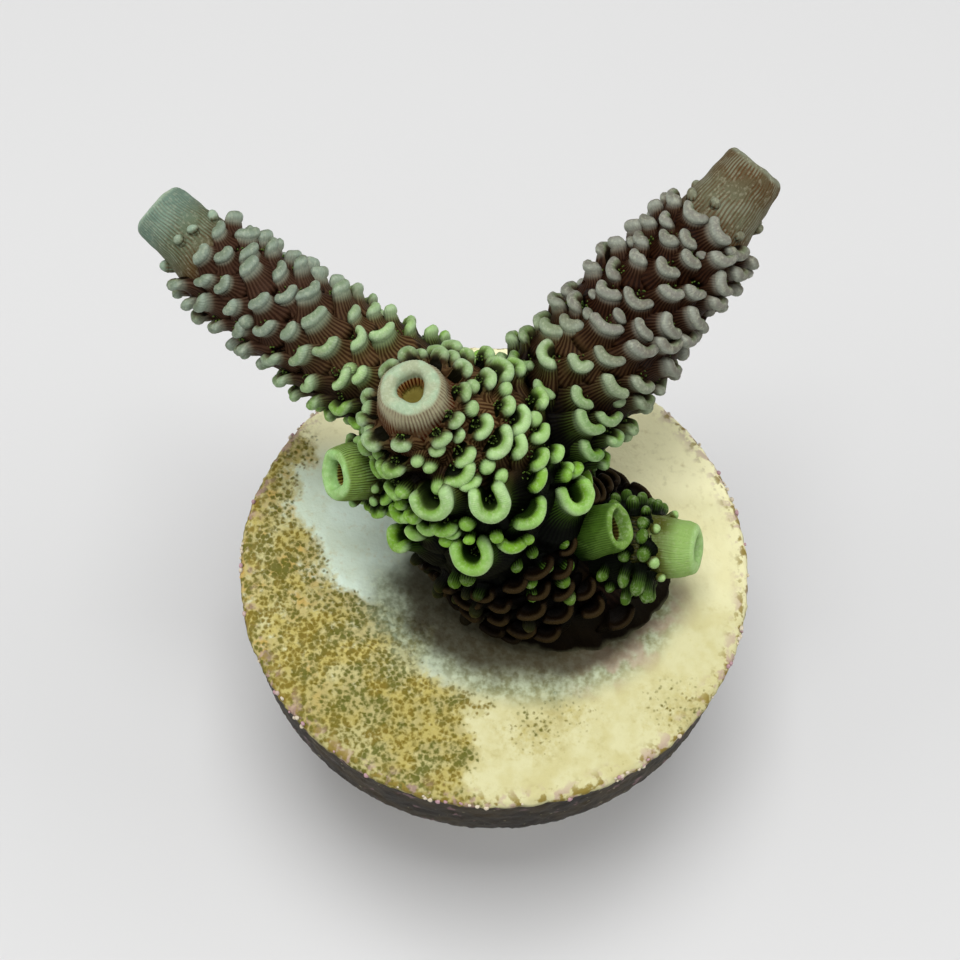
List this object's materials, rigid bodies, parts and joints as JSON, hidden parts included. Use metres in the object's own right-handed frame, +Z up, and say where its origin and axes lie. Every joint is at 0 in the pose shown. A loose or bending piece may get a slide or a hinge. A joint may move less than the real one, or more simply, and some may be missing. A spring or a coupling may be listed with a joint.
{
  "type": "branching coral on a plug",
  "caption": "Branching stony coral with cup-shaped corallites, grown over the top of a round ceramic plug with a stem.",
  "frame": {"origin": "centre of the flat foot of the plug's stem", "axes": "+Z up along the plug's axis, -Y towards the side the two long branches lean away from, +X to the right seen from -Y"},
  "size_m": [0.0295, 0.0256, 0.0353],
  "materials": {
    "plug_ceramic": "unglazed ceramic overgrown with algae",
    "coral_tissue": "moist living coral tissue over skeleton"
  },
  "bodies": {
    "root": {"frag_plug": "plug_ceramic", "trunk": "coral_tissue", "left_branch": "coral_tissue", "right_branch": "coral_tissue", "left_stub": "coral_tissue", "low_branch": "coral_tissue", "low_stub": "coral_tissue"}
  },
  "joints": []
}
